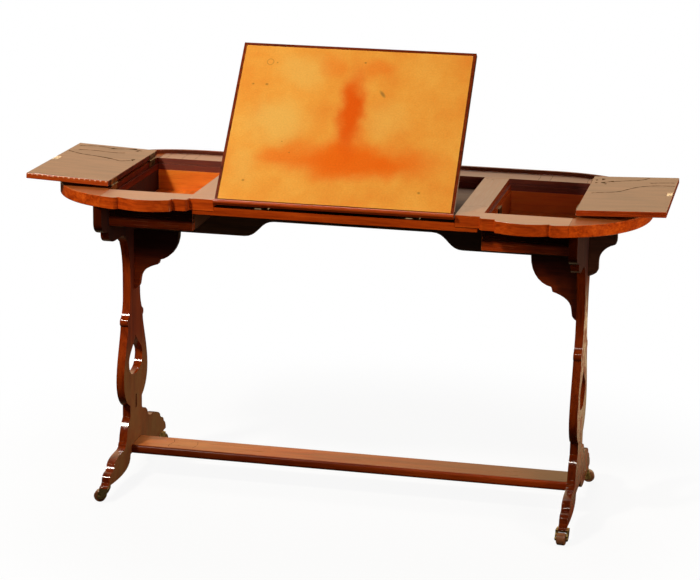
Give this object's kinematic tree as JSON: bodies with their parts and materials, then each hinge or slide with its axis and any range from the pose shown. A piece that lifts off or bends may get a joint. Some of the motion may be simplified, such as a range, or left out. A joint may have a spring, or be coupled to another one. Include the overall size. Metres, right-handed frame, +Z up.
{
  "type": "reading table",
  "caption": "Mahogany reading table with a shaped top on pierced lyre trestles, a leather-lined flap held up by a prop, and lidded side compartments.",
  "frame": {"origin": "on the floor, under the middle of the top's outline", "axes": "+X along the length to the sitter's right, +Y from the sitter to the back, +Z up"},
  "size_m": [1.4474, 0.5396, 1.0499],
  "materials": {
    "mahogany": "french polished",
    "dark_mahogany": "polished, darkened",
    "lining": "waxed",
    "leather": "worn skiver",
    "brass": "aged",
    "roller": "dark polished hardwood"
  },
  "bodies": {
    "frame": {"top_back_rail": "mahogany", "centre_front_rail": "mahogany", "back_gallery": "dark_mahogany", "well_floor": "lining", "ratchet_rack": "lining", "spine_rail": "dark_mahogany", "stretcher": "mahogany", "top_end_left": "mahogany", "top_front_left": "mahogany", "cross_rail_left": "mahogany", "box_front_left": "mahogany", "box_back_left": "mahogany", "box_side_left": "lining", "box_bottom_left": "lining", "inner_bracket_left": "dark_mahogany", "outer_bracket_left": "dark_mahogany", "trestle_left": "mahogany", "top_end_right": "mahogany", "top_front_right": "mahogany", "cross_rail_right": "mahogany", "box_front_right": "mahogany", "box_back_right": "mahogany", "box_side_right": "lining", "box_bottom_right": "lining", "inner_bracket_right": "dark_mahogany", "outer_bracket_right": "dark_mahogany", "trestle_right": "mahogany", "lock_left": "brass", "lid_hinge_left_front_fixed": "brass", "lid_hinge_left_back_fixed": "brass", "flap_hinge_left_fixed": "brass", "lock_right": "brass", "lid_hinge_right_front_fixed": "brass", "lid_hinge_right_back_fixed": "brass", "flap_hinge_right_fixed": "brass"},
    "lid_left": {"lid_left": "mahogany", "strike_left": "brass", "lid_hinge_left_front_moving": "brass", "lid_hinge_left_back_moving": "brass"},
    "lid_right": {"lid_right": "mahogany", "strike_right": "brass", "lid_hinge_right_front_moving": "brass", "lid_hinge_right_back_moving": "brass"},
    "flap": {"flap_board": "mahogany", "flap_leather": "leather", "flap_nosing": "mahogany", "flap_hinge_left_moving": "brass", "flap_hinge_right_moving": "brass", "prop_bracket_left": "brass", "prop_bracket_right": "brass"},
    "prop": {"prop": "mahogany"},
    "caster_front_left": {"caster_horn_front_left": "brass"},
    "wheel_front_left": {"caster_wheel_front_left": "roller"},
    "caster_front_right": {"caster_horn_front_right": "brass"},
    "wheel_front_right": {"caster_wheel_front_right": "roller"},
    "caster_back_left": {"caster_horn_back_left": "brass"},
    "wheel_back_left": {"caster_wheel_back_left": "roller"},
    "caster_back_right": {"caster_horn_back_right": "brass"},
    "wheel_back_right": {"caster_wheel_back_right": "roller"}
  },
  "joints": [
    {"name": "lid_left_hinge", "type": "hinge", "parent": "frame", "child": "lid_left", "pos_m": [-0.5275, 0.0065, 0.7377], "axis": [0, 1, 0], "range_deg": [0, 177.75]},
    {"name": "lid_right_hinge", "type": "hinge", "parent": "frame", "child": "lid_right", "pos_m": [0.5275, 0.0065, 0.7377], "axis": [0, -1, 0], "range_deg": [0, 177.75]},
    {"name": "flap_tilt", "type": "hinge", "parent": "frame", "child": "flap", "pos_m": [0, -0.2195, 0.7235], "axis": [1, 0, 0], "range_deg": [-50.5, 8]},
    {"name": "prop_swing", "type": "hinge", "parent": "flap", "child": "prop", "pos_m": [0, -0.09137, 0.8706], "axis": [1, 0, 0], "range_deg": [-16, 101]},
    {"name": "swivel_front_left", "type": "hinge", "parent": "frame", "child": "caster_front_left", "pos_m": [-0.5335, -0.214, 0.0335], "axis": [0, 0, 1], "continuous": true},
    {"name": "roll_front_left", "type": "hinge", "parent": "caster_front_left", "child": "wheel_front_left", "pos_m": [-0.54446, -0.21496, 0.014], "axis": [0.0872, -0.9962, 0], "continuous": true},
    {"name": "swivel_front_right", "type": "hinge", "parent": "frame", "child": "caster_front_right", "pos_m": [0.5335, -0.214, 0.0335], "axis": [0, 0, 1], "continuous": true},
    {"name": "roll_front_right", "type": "hinge", "parent": "caster_front_right", "child": "wheel_front_right", "pos_m": [0.53254, -0.22496, 0.014], "axis": [0.9962, -0.0872, 0], "continuous": true},
    {"name": "swivel_back_left", "type": "hinge", "parent": "frame", "child": "caster_back_left", "pos_m": [-0.5335, 0.214, 0.0335], "axis": [0, 0, 1], "continuous": true},
    {"name": "roll_back_left", "type": "hinge", "parent": "caster_back_left", "child": "wheel_back_left", "pos_m": [-0.528, 0.22353, 0.014], "axis": [-0.866, 0.5, 0], "continuous": true},
    {"name": "swivel_back_right", "type": "hinge", "parent": "frame", "child": "caster_back_right", "pos_m": [0.5335, 0.214, 0.0335], "axis": [0, 0, 1], "continuous": true},
    {"name": "roll_back_right", "type": "hinge", "parent": "caster_back_right", "child": "wheel_back_right", "pos_m": [0.54433, 0.21591, 0.014], "axis": [-0.1736, 0.9848, 0], "continuous": true}
  ],
  "couplings": [
    {"joint": "prop_swing", "follows": "flap_tilt", "ratio": -2}
  ]
}
